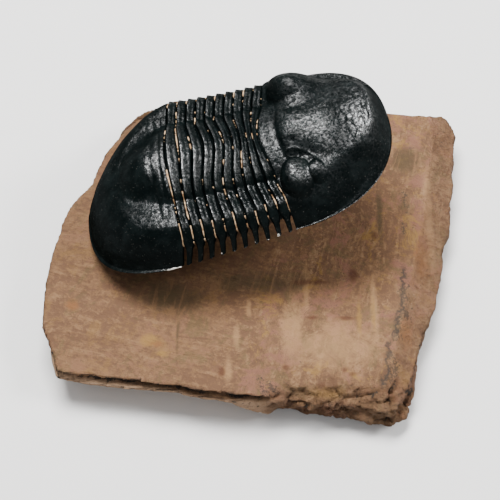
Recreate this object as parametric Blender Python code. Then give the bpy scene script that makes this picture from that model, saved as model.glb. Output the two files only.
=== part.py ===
"""Trilobite fossil on its block of limestone.

The animal's shell is three groups of plates: the head shield with its two eyes, ten narrow body segments
whose ends are free spines, and the broad tail shield. The rock still fills the shell from below and carries
it on a tapering stem above a flat broken slab.

The shell is drawn on flat body coordinates first: along runs from the tail end to the front of the head,
across runs from the axis to either side, and lift is the height above the line of the spine tips. place()
then wraps these coordinates round the arched line of the body. Metres, +Z up, origin under the middle of
the slab.
"""

import math

import bmesh
import bpy
import numpy as np
from mathutils import Vector, noise

# Lengths along the arched body, and its widths
TAIL_LENGTH = 0.0280
THORAX_LENGTH = 0.0252
HEAD_LENGTH = 0.0296
SEGMENTS = 10
HALF_WIDTH_REAR = 0.0243
HALF_WIDTH_FRONT = 0.0218
HALF_WIDTH_HEAD = 0.0216
GENAL_SETBACK = 0.0024
BODY_LENGTH = TAIL_LENGTH + THORAX_LENGTH + HEAD_LENGTH
FIRST_JOINT = TAIL_LENGTH
LAST_JOINT = TAIL_LENGTH + THORAX_LENGTH

# Cross-section of the body, rear then front: half width of the raised axis, share of the flank that is level,
# height of the flank, and rise of the axis above it
AXIS_HALF = (0.0116, 0.0109)
FLANK_TOP_SHARE = (0.68, 0.73)
FURROW_LIFT = (0.0095, 0.0076)
FLANK_CURVE = 1.15
AXIS_RISE = (0.0042, 0.0040)

# The line of the body: where the tail end lies, its slope at four stations, and its heading
TAIL_POINT = (-0.0437, 0.0081, 0.0131)
PITCH_DEG = (47.6, 12.1, 16.7, 25.9)
YAW_DEG = (3.0, 13.0)
FAR_TAPER = 0.06

# The plates
PLATE_THICKNESS = 0.0016
RIM_HEIGHT = 0.0006
RIM_WIDTH = 0.0009
JOINT_GAP = 0.0004
SPINE_START = 0.87
SPINE_NECK_SHARE = 0.55
SPINE_TIP_SHARE = 0.20
RIDGE_RISE = 0.0004
RING_ARCH = 0.0022
RING_ARCH_FALL = 0.00013
RING_ARCH_JOINT = 4.5
FLANK_SWEEP = (0.0006, 0.0014)
TIP_SWEEP = (-0.0014, 0.0010)
FLANK_SWEEP_AT = 0.80
CORNER_SIDE = 0.0025
TAIL_OUTLINE_POWER = (2.2, 1.32)
TAIL_AXIS_LENGTH = 0.0115
TAIL_AXIS_POWER = (0.75, 0.9)
TAIL_TOP_LOSS = 0.40
HEAD_OUTLINE_POWER = 2.35
SEGMENT_CELLS = (2, 26)
TAIL_CELLS = (11, 24)
HEAD_CELLS = (16, 28)

# The head's own forms, measured from the last joint and from the axis. Pairs are the near and the far eye
HEAD_LIFT = 0.0096
HEAD_TOP_SHARE = 0.74
FRONT_TOP_SHARE = 0.93
CHEEK_FALL = 0.24
FAR_FRONT_DROP = 0.0024
FAR_FRONT_ACROSS = (-0.0030, 0.0160)
FAR_FRONT_AHEAD = (0.0100, 0.0100)
RING_LENGTH = 0.0060
GLABELLA_RISE = 0.0036
GLABELLA_CROWN = 0.0070
GLABELLA_CROWN_HALF = 0.0060
GLABELLA_LOW_SHARE = 0.45
GLABELLA_WAIST = 0.0084
GLABELLA_WAIST_SHARE = 0.22
GLABELLA_FRONT = 0.0126
GLABELLA_WIDENS = (0.30, 0.45)
GLABELLA_SINKS = (0.74, 0.26)
EYE_ALONG = (0.0054, 0.0094)
EYE_ACROSS = 0.0128
EYE_LENGTH = (0.0043, 0.0075)
EYE_WIDTH = (0.0050, 0.0080)
EYE_RISE = (0.0035, 0.0042)
EYE_POWER = (0.55, 1.4)
EYE_LEAN = (90.0, 20.0)

# The rock
SLAB_THICKNESS = 0.0125
SLAB_OUTLINE = (
    (-0.0497, -0.0353), (-0.0346, -0.0370), (-0.0205, -0.0392), (-0.0069, -0.0414), (0.0059, -0.0420),
    (0.0202, -0.0425), (0.0335, -0.0452), (0.0358, -0.0405), (0.0383, -0.0328), (0.0409, -0.0238),
    (0.0453, -0.0138), (0.0477, -0.0001), (0.0507, 0.0124), (0.0519, 0.0263), (0.0539, 0.0370),
    (0.0528, 0.0432), (0.0450, 0.0405), (0.0364, 0.0415), (0.0120, 0.0445), (-0.0120, 0.0465),
    (-0.0258, 0.0451), (-0.0351, 0.0369), (-0.0402, 0.0287), (-0.0443, 0.0181), (-0.0486, 0.0131),
    (-0.0522, 0.0011), (-0.0541, -0.0142), (-0.0537, -0.0225), (-0.0517, -0.0282),
)
FACET_FRONT = (0.0325, -0.0345)
FACET_BACK = (0.0455, 0.0330)
FACET_SLOPE = 0.55
SLAB_CELLS = 22
BROKEN_RIM = 0.0007
BROKEN_SIDE = 0.0008
SWELLS = (0.0007, 0.0003)
SWELL_SIZES = (0.0222, 0.00625)
CHIP_Y = (-0.0385, -0.0420)
CHIP_X = (0.0005, 0.0065)
CHIP_DEPTH = 0.0028
BUMP_X = -0.0012
BUMP_HALF = 0.0060
BUMP_REACH = 0.0030
# The front side's left part ends at x LEFT_FRONT_X and its right part begins at RIGHT_FRONT_X
LEFT_FRONT_X = (0.0100, -0.0100)
RIGHT_FRONT_X = (0.0080, 0.0260)
FRONT_Y = (-0.0250, -0.0370)
# The side from the rim down to the base: height, outward step, and the step's change at the left front, at
# the right front and at the bump. The first two heights are measured down from the upper face
SIDE_LEVELS = (
    (-0.0014, 0.0002, -0.0013, 0.0, 0.0),
    (-0.0030, 0.0002, 0.0008, 0.0010, 0.0),
    (0.0055, -0.0006, -0.0018, 0.0026, 1.0),
    (0.0022, -0.0014, -0.0036, 0.0026, 0.7),
    (0.0, -0.0024, -0.0042, 0.0012, 0.0),
)
SINK = 0.0040
STEM_CENTRE = (-0.0140, 0.0170)
STEM_RADII = (0.0220, 0.0150)
STEM_NARROWING = ((0.22, 0.45), (0.5, 0.78), (0.8, 0.97), (1.0, 1.02))
STEM_CELLS = (22, 12)
FILL_SHARE = 0.85
FILL_END_INSET = 0.0032
FILL_POWER = 2.6
ROCK_GAP = 0.0010

# Brings the middle of the whole over the origin
CENTRING = Vector((0.000107, -0.000433, 0.0))


def between(pair, share):
    return pair[0] + (pair[1] - pair[0]) * share


def ease(x):
    """0 up to 0, 1 from 1 on, and a smooth step between."""
    x = min(1.0, max(0.0, x))
    return x * x * (3 - 2 * x)


def rising(x, start_and_length):
    """0 up to a start, 1 a length beyond it, and a smooth step between."""
    start, length = start_and_length
    return ease((x - start) / length)


def between_limits(x, limits):
    """0 at the first limit and 1 at the second, with a smooth step between. Either may be the higher."""
    return ease((x - limits[0]) / (limits[1] - limits[0]))


def thorax_share(along):
    """0 at the first joint and behind it, 1 at the last joint and ahead of it."""
    return min(1.0, max(0.0, (along - FIRST_JOINT) / THORAX_LENGTH))


def body_line():
    """The arched line as tables of stations, points, ups and sides, walked in small steps."""
    steps = 900
    spare = 0.004
    stations = np.linspace(-spare, BODY_LENGTH + spare, steps)
    knots = (0.0, FIRST_JOINT, LAST_JOINT, BODY_LENGTH)
    pitch = np.radians(np.interp(stations, knots, PITCH_DEG))
    yaw = np.radians(np.interp(stations, (0.0, BODY_LENGTH), YAW_DEG))
    level = np.stack([np.cos(yaw), np.sin(yaw), 0 * yaw], 1)
    up = np.array([0.0, 0.0, 1.0])
    ahead = level * np.cos(pitch)[:, None] + up * np.sin(pitch)[:, None]
    ups = up * np.cos(pitch)[:, None] - level * np.sin(pitch)[:, None]
    sides = np.stack([-np.sin(yaw), np.cos(yaw), 0 * yaw], 1)
    walk = np.cumsum((ahead[1:] + ahead[:-1]) / 2 * (stations[1] - stations[0]), axis=0)
    points = np.concatenate([[[0.0, 0.0, 0.0]], walk])
    start = np.array([np.interp(0.0, stations, points[:, k]) for k in range(3)])
    return stations, points - start + np.array(TAIL_POINT), ups, sides


LINE = body_line()


def place(along, across, lift):
    """The world point of body coordinates. The far side is pressed a little narrower towards the tail."""
    stations, points, ups, sides = LINE
    if across > 0:
        across *= 1 - FAR_TAPER * (1 - along / BODY_LENGTH)
    point, up, side = (
        Vector([float(np.interp(along, stations, table[:, k])) for k in range(3)])
        for table in (points, ups, sides)
    )
    return point + side * across + up * lift


def flank(reach, top_lift, top_share):
    """Level out to top_share of the way from the axis to the edge, then a rounded fall to zero."""
    if reach <= top_share:
        return top_lift
    fall = min(1.0, (reach - top_share) / (1 - top_share))
    return top_lift * math.cos(math.pi / 2 * fall**FLANK_CURVE)


def swell(reach, rise, power=0.75):
    """A rounded ridge: rise in the middle, nothing at reach 1 and beyond."""
    return rise * max(0.0, 1 - reach * reach) ** power


def thorax_lift(along, across):
    share = thorax_share(along)
    half = between((HALF_WIDTH_REAR, HALF_WIDTH_FRONT), share)
    reach = abs(across) / half
    lift = flank(reach, between(FURROW_LIFT, share), between(FLANK_TOP_SHARE, share))
    return lift + swell(abs(across) / between(AXIS_HALF, share), between(AXIS_RISE, share))


def tail_lift(along, across):
    """A dome out to the margin, with the short rounded end of the axis on its front half."""
    x = max(0.0, (FIRST_JOINT - along) / TAIL_LENGTH)
    y = abs(across) / HALF_WIDTH_REAR
    power = TAIL_OUTLINE_POWER[across > 0]
    reach = (x**power + y**power) ** (1 / power)
    rearward = (x / reach) ** 2 if reach > 0 else 0.0
    lift = flank(reach, FURROW_LIFT[0], FLANK_TOP_SHARE[0] - TAIL_TOP_LOSS * rearward)
    behind = x * TAIL_LENGTH / TAIL_AXIS_LENGTH
    axis_reach = math.hypot(behind, across / AXIS_HALF[0])
    power = TAIL_AXIS_POWER[0] + TAIL_AXIS_POWER[1] * ease(behind / 0.6)
    return lift + swell(axis_reach, AXIS_RISE[0], power)


def eye_lift(ahead, across):
    """The two eye lobes. Pressure has pushed the shell askew, so the far eye lies further forward."""
    far = across > 0
    forward = ahead - EYE_ALONG[far]
    reach = math.hypot(forward / EYE_LENGTH[far], (abs(across) - EYE_ACROSS) / EYE_WIDTH[far])
    return swell(reach, EYE_RISE[far], EYE_POWER[far]) * (1 - EYE_LEAN[far] * forward)


def head_lift(along, across):
    """A dome to the margin, the glabella that widens forwards, and the ring behind it."""
    ahead = along - LAST_JOINT
    x = max(0.0, (ahead - GENAL_SETBACK) / (HEAD_LENGTH - GENAL_SETBACK))
    y = abs(across) / HALF_WIDTH_HEAD
    reach = (x**HEAD_OUTLINE_POWER + y**HEAD_OUTLINE_POWER) ** (1 / HEAD_OUTLINE_POWER)
    forward = (x / reach) ** 2 if reach > 0 else 0.0
    swollen = ease(ahead / RING_LENGTH)
    top_lift = between((FURROW_LIFT[1], HEAD_LIFT), swollen)
    cheek_share = between((HEAD_TOP_SHARE, FRONT_TOP_SHARE), forward)
    cheek_share -= CHEEK_FALL * math.sin(math.pi * forward**0.5)
    lift = flank(reach, top_lift, between((FLANK_TOP_SHARE[1], cheek_share), swollen))
    lift -= FAR_FRONT_DROP * rising(across, FAR_FRONT_ACROSS) * rising(ahead, FAR_FRONT_AHEAD)
    share = ahead / HEAD_LENGTH
    half = between((AXIS_HALF[1], GLABELLA_WAIST), ease(share / GLABELLA_WAIST_SHARE))
    half += (GLABELLA_FRONT - GLABELLA_WAIST) * rising(share, GLABELLA_WIDENS)
    crown = math.exp(-(((ahead - GLABELLA_CROWN) / GLABELLA_CROWN_HALF) ** 2))
    rise = GLABELLA_RISE * between((GLABELLA_LOW_SHARE, 1.0), crown)
    rise = between((AXIS_RISE[1], rise), swollen) * (1 - rising(share, GLABELLA_SINKS))
    return lift + swell(across / half, rise, 0.75 + 0.5 * swollen)


def shell_lift(along, across):
    """The outside of the whole shell, without the ribs of the segments and the eyes."""
    if along < FIRST_JOINT:
        return tail_lift(along, across)
    if along > LAST_JOINT:
        return head_lift(along, across)
    return thorax_lift(along, across)


def joint_line(joint, t):
    """Where joint number joint (0 behind, SEGMENTS in front) crosses the body at t, from -1 to 1."""
    along = FIRST_JOINT + THORAX_LENGTH * joint / SEGMENTS
    share = joint / SEGMENTS
    arch = RING_ARCH - RING_ARCH_FALL * (joint - RING_ARCH_JOINT) ** 2
    axis_share = between(AXIS_HALF, share) / between((HALF_WIDTH_REAR, HALF_WIDTH_FRONT), share)
    if abs(t) < axis_share:
        along += arch * math.cos(math.pi / 2 * t / axis_share) ** 2
    flank_sweep, tip_sweep = between(FLANK_SWEEP, share), between(TIP_SWEEP, share)
    if abs(t) < FLANK_SWEEP_AT:
        return along + flank_sweep * ease((abs(t) - axis_share) / (FLANK_SWEEP_AT - axis_share))
    return along + between((flank_sweep, tip_sweep), ((abs(t) - FLANK_SWEEP_AT) / (1 - FLANK_SWEEP_AT)) ** 2)


def spread(x):
    """Moves evenly spaced columns towards the edges, where the shell bends most."""
    return x * (1.35 - 0.35 * x * x)


def segment_outline(joint, s, t):
    """Body coordinates on a segment: s from its rear joint to its front one, t from side to side."""
    share = (joint + 0.5) / SEGMENTS
    half = between((HALF_WIDTH_REAR, HALF_WIDTH_FRONT), share)
    rear = joint_line(joint, t) + JOINT_GAP / 2
    front = joint_line(joint + 1, t) - JOINT_GAP / 2
    x = (abs(t) - SPINE_START) / (1 - SPINE_START)
    width = 1 - (1 - SPINE_NECK_SHARE) * ease(x / 0.3)
    width -= (SPINE_NECK_SHARE - SPINE_TIP_SHARE) * ease((x - 0.25) / 0.75)
    return (rear + front) / 2 + (s - 0.5) * (front - rear) * width, half * t


def tail_outline(s, t):
    """From the margin at s 0 to the first joint at s 1."""
    length = TAIL_LENGTH - CORNER_SIDE
    turn = math.pi / 2 * t
    power = 2 / TAIL_OUTLINE_POWER[t > 0]
    margin_along = length * (1 - abs(math.cos(turn)) ** power)
    margin_across = HALF_WIDTH_REAR * math.copysign(abs(math.sin(turn)) ** power, t)
    along = margin_along + (joint_line(0, t) - JOINT_GAP / 2 - margin_along) * s
    return along, margin_across + (HALF_WIDTH_REAR * t - margin_across) * s


def head_outline(s, t):
    """From the last joint at s 0 to the front margin at s 1."""
    length = HEAD_LENGTH - GENAL_SETBACK
    turn = math.pi / 2 * t
    power = 2 / HEAD_OUTLINE_POWER
    margin_along = LAST_JOINT + GENAL_SETBACK + length * abs(math.cos(turn)) ** power
    margin_across = HALF_WIDTH_HEAD * math.copysign(abs(math.sin(turn)) ** power, t)
    joint_along = joint_line(SEGMENTS, t) + JOINT_GAP / 2
    joint_across = HALF_WIDTH_FRONT * t
    return joint_along + (margin_along - joint_along) * s, joint_across + (margin_across - joint_across) * s


def rib(s):
    """Each segment stands highest close behind its rear edge, like a roof tile."""
    return RIDGE_RISE * (ease(s / 0.3) * (1 - ease((s - 0.3) / 0.7)) * 2 - 0.5)


def material(name, colour, roughness):
    made = bpy.data.materials.new(name)
    made.use_nodes = True
    made.diffuse_color = (*colour, 1.0)
    surface = made.node_tree.nodes["Principled BSDF"]
    surface.inputs["Base Color"].default_value = (*colour, 1.0)
    surface.inputs["Roughness"].default_value = roughness
    surface.inputs["Metallic"].default_value = 0.0
    return made


def finished(name, mesh, surface):
    """A bmesh as a named object with its material, smooth but for its sharp edges."""
    bmesh.ops.translate(mesh, verts=mesh.verts[:], vec=CENTRING)
    bmesh.ops.recalc_face_normals(mesh, faces=mesh.faces[:])
    if mesh.calc_volume(signed=True) < 0:
        bmesh.ops.reverse_faces(mesh, faces=mesh.faces[:])
    data = bpy.data.meshes.new(name)
    mesh.to_mesh(data)
    mesh.free()
    data.materials.append(surface)
    data.shade_smooth()
    data.set_sharp_from_angle(angle=math.radians(40))
    made = bpy.data.objects.new(name, data)
    bpy.context.scene.collection.objects.link(made)
    return made


def plate(name, cells, outline, relief, edges, surface):
    """A curved plate of shell: a grid is doubled, and one skin takes the outside and one the inside.

    cells is the grid's size along and across. edges says how far the inner skin draws back from the rear
    (s 0) and front (s 1) edges, as a share of s.
    """
    mesh = bmesh.new()
    bmesh.ops.create_grid(mesh, x_segments=cells[1], y_segments=cells[0], size=1.0)
    inner = mesh.verts[:]
    grown = bmesh.ops.extrude_face_region(mesh, geom=mesh.faces[:])["geom"]
    outer = [v for v in grown if isinstance(v, bmesh.types.BMVert)]
    for v in outer:
        s, t = (v.co.y + 1) / 2, spread(v.co.x)
        along, across = outline(s, t)
        lift = shell_lift(along, across) + relief(s, t) + eye_lift(along - LAST_JOINT, across)
        v.co = place(along, across, max(RIM_HEIGHT, lift))
    side_share = 1 - RIM_WIDTH / HALF_WIDTH_REAR
    for v in inner:
        s, t = (v.co.y + 1) / 2, spread(v.co.x)
        s = edges[0] + s * (1 - edges[0] - edges[1])
        along, across = outline(s, t * side_share)
        v.co = place(along, across, max(0.0, shell_lift(along, across) - PLATE_THICKNESS))
    return finished(name, mesh, surface)


def disc(p, q):
    """A square grid's p and q, each from -1 to 1, moved onto the unit disc."""
    return p * math.sqrt(1 - q * q / 2), q * math.sqrt(1 - p * p / 2)


def rim_reach(turn):
    """How far the slab's outline lies from the middle in the direction turn, uneven like a broken edge."""
    corners = [Vector(corner) for corner in SLAB_OUTLINE]
    turns = [math.atan2(corner.y, corner.x) for corner in corners]
    reaches = [corner.length for corner in corners]
    reach = float(np.interp(turn, *zip(*sorted(zip(turns, reaches))), period=2 * math.pi))
    return reach + BROKEN_RIM * noise.noise(Vector((math.cos(turn), math.sin(turn), 0.0)) * 9)


def top_height(x, y):
    """The slab's upper face: gentle swells, a bevelled break on the right and a chipped front corner."""
    spot = Vector((x, y, 0.0))
    height = SLAB_THICKNESS
    for rise, size in zip(SWELLS, SWELL_SIZES):
        height += rise * noise.noise(spot / size)
    front, back = Vector((*FACET_FRONT, 0.0)), Vector((*FACET_BACK, 0.0))
    line = (back - front).normalized()
    beyond = (spot - front).dot(Vector((line.y, -line.x, 0.0)))
    height -= FACET_SLOPE * max(0.0, beyond)
    chip = between_limits(y, CHIP_Y) * between_limits(x, CHIP_X)
    return height - CHIP_DEPTH * chip * (1 + 0.4 * noise.noise(spot * 300))


def side_levels(point):
    """The broken side under one outline point, as (outward step, height) pairs from the rim to the base."""
    front = between_limits(point.y, FRONT_Y)
    left_front = between_limits(point.x, LEFT_FRONT_X) * front
    right_front = between_limits(point.x, RIGHT_FRONT_X) * front
    bump = BUMP_REACH * math.exp(-(((point.x - BUMP_X) / BUMP_HALF) ** 2)) * front
    rough = noise.noise(point * 95) * BROKEN_SIDE
    levels = []
    for height, step, left_step, right_step, bump_share in SIDE_LEVELS:
        if height < 0:
            height += top_height(point.x, point.y)
        if height > 0:
            step += rough
        levels.append((step + left_step * left_front + right_step * right_front + bump_share * bump, height))
    return levels


def slab_body():
    """A grid spread over the outline as the upper face, its border taken down the side, and a flat base."""
    mesh = bmesh.new()
    bmesh.ops.create_grid(mesh, x_segments=SLAB_CELLS, y_segments=SLAB_CELLS, size=1.0)
    for v in mesh.verts:
        x, y = disc(v.co.x, v.co.y)
        reach = rim_reach(math.atan2(y, x))
        v.co = Vector((x * reach, y * reach, top_height(x * reach, y * reach)))
    border = [e for e in mesh.edges if e.is_boundary]
    rims = {v: v.co.copy() for e in border for v in e.verts}
    for level in range(len(SIDE_LEVELS)):
        grown = bmesh.ops.extrude_edge_only(mesh, edges=border)["geom"]
        border = [e for e in grown if isinstance(e, bmesh.types.BMEdge)]
        moved = {}
        for v in (v for v in grown if isinstance(v, bmesh.types.BMVert)):
            above = min(rims, key=lambda old: (old.co - v.co).length_squared)
            moved[v] = rims[above]
        for v, rim in moved.items():
            point = Vector((rim.x, rim.y, 0.0))
            step, height = side_levels(point)[level]
            spot = point + point.normalized() * step
            v.co = Vector((spot.x, spot.y, height))
        rims = moved
    bmesh.ops.contextual_create(mesh, geom=border)
    return mesh


def fill_point(p, q):
    """Body coordinates of the rock filling, from a square grid's p and q, each from -1 to 1."""
    x, y = disc(p, q)
    size = math.hypot(x, y)
    if size > 1e-9:
        turn = math.atan2(y, x)
        corner = (abs(math.cos(turn)) ** FILL_POWER + abs(math.sin(turn)) ** FILL_POWER) ** (-1 / FILL_POWER)
        x, y = x * corner, y * corner
    half_length = BODY_LENGTH / 2 - FILL_END_INSET
    along = BODY_LENGTH / 2 + half_length * x
    half = between((HALF_WIDTH_REAR, HALF_WIDTH_FRONT), thorax_share(along)) * FILL_SHARE
    return along, half * y


def stem_body():
    """The rock that fills the shell, narrowing to the stem's foot, which is sunk in the slab."""
    mesh = bmesh.new()
    bmesh.ops.create_grid(mesh, x_segments=STEM_CELLS[0], y_segments=STEM_CELLS[1], size=1.0)
    rim = {}
    for v in mesh.verts:
        along, across = fill_point(v.co.x, v.co.y)
        on_rim = max(abs(v.co.x), abs(v.co.y)) > 0.999
        v.co = place(along, across, max(-ROCK_GAP, shell_lift(along, across) - PLATE_THICKNESS - ROCK_GAP))
        if on_rim:
            rim[v] = v.co.copy()
    centre = sum(rim.values(), Vector()) / len(rim)
    border = [e for e in mesh.edges if e.is_boundary]
    origin = dict(rim)
    for drop, inward in STEM_NARROWING:
        grown = bmesh.ops.extrude_edge_only(mesh, edges=border)["geom"]
        fresh = [v for v in grown if isinstance(v, bmesh.types.BMVert)]
        border = [e for e in grown if isinstance(e, bmesh.types.BMEdge)]
        moved = {}
        for v in fresh:
            source = min(origin, key=lambda old: (old.co - v.co).length_squared)
            moved[v] = origin[source]
        for v, top in moved.items():
            heading = Vector((top.x - centre.x, top.y - centre.y, 0.0)).normalized()
            foot = Vector((*STEM_CENTRE, 0.0)) + heading * Vector((*STEM_RADII, 0.0))
            bottom = SLAB_THICKNESS - SINK
            spot = Vector((top.x, top.y, 0.0)).lerp(foot, inward)
            v.co = Vector((spot.x, spot.y, top.z + (bottom - top.z) * drop))
        origin = moved
    bmesh.ops.contextual_create(mesh, geom=border)
    return mesh


def build_rock(surface):
    rock = finished("rock", slab_body(), surface)
    stem = finished("stem_cutter", stem_body(), surface)
    stem.hide_render = True
    stem.display_type = "WIRE"
    join = rock.modifiers.new("stem", "BOOLEAN")
    join.operation = "UNION"
    join.object = stem
    return rock


def build_shell(surface):
    """The plates from tail to head. Segments are numbered as on the animal, from the head backwards."""
    tail = plate("tail_shield", TAIL_CELLS, tail_outline, lambda s, t: 0.0, (0.05, 0.0), surface)
    plates = [tail]
    for joint in range(SEGMENTS):
        number = SEGMENTS - joint
        plates.append(
            plate(
                f"body_segment_{number:02d}",
                SEGMENT_CELLS,
                lambda s, t, joint=joint: segment_outline(joint, s, t),
                lambda s, t: rib(s),
                (0.0, 0.0),
                surface,
            )
        )
    plates.append(plate("head_shield", HEAD_CELLS, head_outline, lambda s, t: 0.0, (0.0, 0.04), surface))
    return plates


def main():
    for old in list(bpy.data.objects):
        bpy.data.objects.remove(old)
    build_rock(material("limestone", (0.42, 0.27, 0.18), 0.85))
    build_shell(material("black_shell", (0.012, 0.014, 0.015), 0.32))


main()
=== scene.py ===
"""The looks of a trilobite fossil on its block of limestone.

The file follows the specimen from the rock up: the block, then the shell's body segments, the rock left in
their joints, the tail shield and the head shield, and last the table, the light and the camera. Metres.
"""

import math

import bmesh
import bpy
import numpy as np
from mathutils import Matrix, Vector, noise


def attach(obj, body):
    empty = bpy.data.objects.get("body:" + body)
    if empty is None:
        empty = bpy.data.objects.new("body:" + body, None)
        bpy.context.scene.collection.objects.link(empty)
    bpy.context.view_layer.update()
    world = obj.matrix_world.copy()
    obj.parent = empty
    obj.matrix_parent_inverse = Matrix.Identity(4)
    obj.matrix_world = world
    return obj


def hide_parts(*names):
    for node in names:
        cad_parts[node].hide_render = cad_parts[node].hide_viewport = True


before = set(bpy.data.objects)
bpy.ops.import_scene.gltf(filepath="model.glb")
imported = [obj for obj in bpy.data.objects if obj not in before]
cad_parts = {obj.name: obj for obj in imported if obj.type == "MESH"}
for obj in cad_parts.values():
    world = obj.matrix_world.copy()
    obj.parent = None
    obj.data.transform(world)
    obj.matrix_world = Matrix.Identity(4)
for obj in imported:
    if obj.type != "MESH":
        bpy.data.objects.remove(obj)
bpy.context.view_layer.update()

MM = 0.001

# The block of limestone, with the stem under the animal and the rock that fills the shell, all one stone.
# Its upper face was smoothed with an engraving pen, which left fine streaks. Its sides and its right-hand
# bevel are rough breaks, and it stands on a flat underside.

ROCK_VOXEL = 0.62 * MM
SLAB_TOP = 12.5 * MM
FOOT_HEIGHT = 1.5 * MM
BED_FLATNESS = 2.6
# Lumps and clefts of a broken face: size, then how far they reach in millimetres
LUMPS = ((6.0 * MM, 1.0), (2.6 * MM, 0.6), (1.2 * MM, 0.35))
CLEFT_SIZE = 4.5 * MM
CLEFT_HALF = 0.09
# A face counts as steep when less than this share of it is upward, and wholly so when it is that much less
STEEP_BELOW = 0.85
STEEP_OVER = 0.35
# How rough a face is, against 1 on the slab's broken sides
FACET_ROUGHNESS = 0.45
STEM_ROUGHNESS = 0.45
CORNER_ROUGHNESS = 0.6
STEM_ROUGH_HEIGHT = 14 * MM
# The crumbled corner, at the front from here to the right
CORNER_X = -1 * MM
CORNER_Y = -38.0 * MM
# The split under the front edge, from here to the left, and the pale shelf below it, which is painted paler
# still as painted light because it lies in shade
LEDGE_X = 8 * MM
LEDGE_Y = -26 * MM
CREVICE_DEPTH = 1.5 * MM
CREVICE_HALF = 0.55 * MM
CREVICE_CUT = 1.2
SHELF_DEPTH = 1.9 * MM
# The bulge of the far left corner
FAR_CORNER_X = -32 * MM
FAR_CORNER_Y = 30 * MM
FAR_CORNER_HALF = 4.5 * MM
FAR_CORNER_BULGE = 1.2
# Where the upper face breaks down to the right, from the front corner to the back one
BREAK_LINE_X = (30.0 * MM, 31.5 * MM, 32.6 * MM, 35.7 * MM, 37.4 * MM, 41.8 * MM, 43.6 * MM, 46.5 * MM)
BREAK_LINE_Y = (-41.2 * MM, -36.7 * MM, -31.3 * MM, -21.7 * MM, -13.2 * MM, 4.4 * MM, 13.5 * MM, 34.0 * MM)

TAN = (0.142, 0.074, 0.034)
PINK_TAN = (0.098, 0.049, 0.025)
CREAM = (0.23, 0.135, 0.070)
ROSE = (0.150, 0.066, 0.042)
OLIVE = (0.078, 0.054, 0.021)
RUST = (0.060, 0.020, 0.008)
OCHRE = (0.20, 0.11, 0.028)
ORANGE = (0.15, 0.062, 0.021)
SLATE = (0.020, 0.018, 0.015)
# Pale stone of the shelf under the front split, made brighter as painted light for its shade
LEDGE_PALE_AND_LIT = (0.40, 0.25, 0.15)
# Paler stone, also laid as painted light that lifts the shade where the head's shadow falls on the near side
PALE_TAN_AND_LIGHT = (0.28, 0.158, 0.072)
# Olive-brown stain, also laid as painted shadow of the fossil on the stone under the tail and the head
STAIN_AND_SHADE = (0.046, 0.031, 0.013)
# Cloud patterns in the stone: cells per metre, detail, roughness and distortion
BROAD = (38.0, 5.0, 0.6, 0.8)
BLOTCHES = (80.0, 5.0, 0.66, 1.2)
HUES = (120.0, 6.0, 0.78, 0.5)
HAIR_CRACKS = (130.0, 5.0, 0.7, 0.9)
MOTTLES = (170.0, 6.0, 0.72, 0.8)
CREVICES = (420.0, 5.0, 0.7, 1.8)
SPECKLES = (620.0, 5.0, 0.75, 0.4)
FINE_GRAIN = (1700.0, 5.0, 0.7)
# Pen strokes: their direction in degrees, cells per metre along each axis, and the line where the strokes of
# the left part meet those of the right
STROKE_TURN = -14.0
LEFT_STROKES = (55.0, 330.0, 200.0)
RIGHT_STROKES = (300.0, 45.0, 200.0)
STROKE_EDGE_X = 4.3 * MM
STROKE_EDGE_LEAN = 0.256
STROKE_EDGE_SOFT = 1.5 * MM
# Patches on the upper face: each a middle x and y and half sizes, all in millimetres
PATCHES = {
    # These patches are partly real stain and partly painted shadow under the tail, the thorax and the head
    "stained_and_shaded": ((-21, -15, 10, 6), (0, -11, 16, 4), (39, 26, 5, 5), (31.5, 9, 1.0, 12), (-20, -24, 0.5, 9)),
    "rusted": (
        (24, -9, 1.6, 2.2), (13, -11, 7, 1.0), (30, 3, 1.0, 1.6), (6.4, -34.6, 1.0, 0.8),
        (20.8, -35.4, 1.0, 0.8), (22.7, -36.6, 1.2, 0.6), (15.3, -39.1, 1.4, 0.7), (22, -21, 3.0, 0.8),
        (-9, -36, 1.0, 1.8), (13, -21, 2, 0.6),
    ),
    "yellowed": (
        (16.7, -40.7, 6, 1.8), (-26.8, -27.5, 3, 2), (-24, -31, 2, 1), (25, -21, 0.8, 7), (28.6, -20, 0.7, 6),
    ),
    "oranged": (
        (-46.7, -17.5, 2, 2), (41.8, -4, 2.6, 8), (36.5, -25, 2.6, 5), (33.5, -40, 2.5, 4),
        (-25, -28.5, 2, 1.2),
    ),
    # These patches are partly paler stone and partly painted light in the head's shadow
    "paled_and_lit": (
        (20, -29, 12, 8), (8, -24, 4, 10), (44.5, 8, 1.6, 16), (-2.5, -18, 1.0, 4), (-5.5, -26, 1.2, 6),
        (-7.5, -35, 1.4, 6), (12, -12, 1.0, 10), (29, -18, 1.2, 14),
    ),
    "slated": (
        (37.9, 13, 1.4, 4.5), (37.6, 5, 1.0, 4), (37.0, -10.6, 1.4, 4), (36.6, -15, 2.0, 3.4),
        (36.6, -19.2, 2.4, 4), (34.5, -24.5, 1.8, 4), (31.9, -31, 1.2, 4), (33.5, -34.5, 1.8, 2.6),
        (31.8, -37.5, 2.4, 2.6), (2.2, -39.9, 2.4, 2.2), (0.8, -38, 1.8, 1.2),
    ),
}
# The tint that each patch takes and its share, in the order they are laid on. A slated patch only lets the
# slate line and its grit show.
PATCH_TINTS = {
    # Painted light, together with the paler stone
    "paled_and_lit": (PALE_TAN_AND_LIGHT, 0.55),
    # Painted shadow, together with the stain
    "stained_and_shaded": (STAIN_AND_SHADE, 0.72),
    "yellowed": (OCHRE, 0.65),
    "oranged": (ORANGE, 0.80),
    "rusted": (RUST, 0.75),
}


def even(x):
    """0 up to 0, 1 from 1 on, and a smooth step between, for numbers or arrays."""
    x = np.clip(x, 0.0, 1.0)
    return x * x * (3 - 2 * x)


def ridge(distance, half):
    """1 at distance 0, falling like a bell to near 0 at twice half."""
    return np.exp(-((distance / half) ** 2))


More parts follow.
